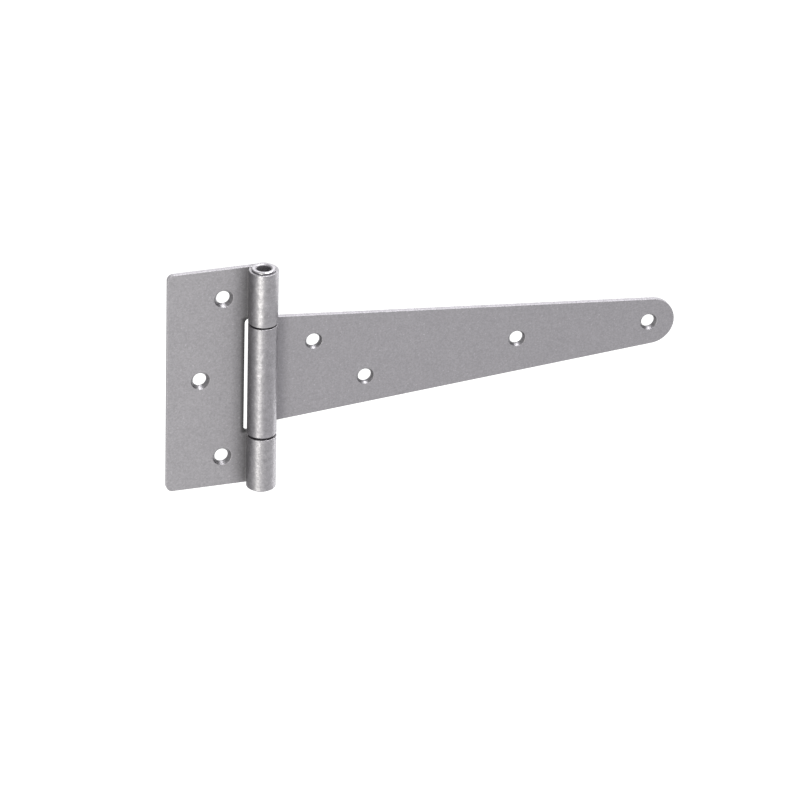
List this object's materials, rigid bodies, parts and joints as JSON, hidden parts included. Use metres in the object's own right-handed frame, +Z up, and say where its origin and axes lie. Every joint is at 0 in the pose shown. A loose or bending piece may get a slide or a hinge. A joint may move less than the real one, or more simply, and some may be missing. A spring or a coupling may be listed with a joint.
{
  "type": "tee hinge",
  "caption": "Tee hinge in sheet steel: an upright cross leaf and a long tapered strap leaf, both countersunk for screws, turning on a hollow pin.",
  "frame": {"origin": "on the pin axis, at half the height of the cross leaf", "axes": "+Z up along the pin, +X along the strap towards its tip, +Y out of the backs of the leaves towards the surface they are screwed to"},
  "size_m": [0.2192, 0.0122, 0.1018],
  "materials": {
    "leaf_steel": "zinc plated, satin",
    "strap_steel": "zinc plated, satin",
    "pin_steel": "zinc plated, bright"
  },
  "bodies": {
    "cross_leaf": {"cross_leaf": "leaf_steel", "hinge_pin": "pin_steel"},
    "strap_leaf": {"strap_leaf": "strap_steel"}
  },
  "joints": [
    {"name": "strap_swing", "type": "hinge", "parent": "cross_leaf", "child": "strap_leaf", "pos_m": [0, 0, 0], "axis": [0, 0, 1], "range_deg": [-180, 90]}
  ]
}
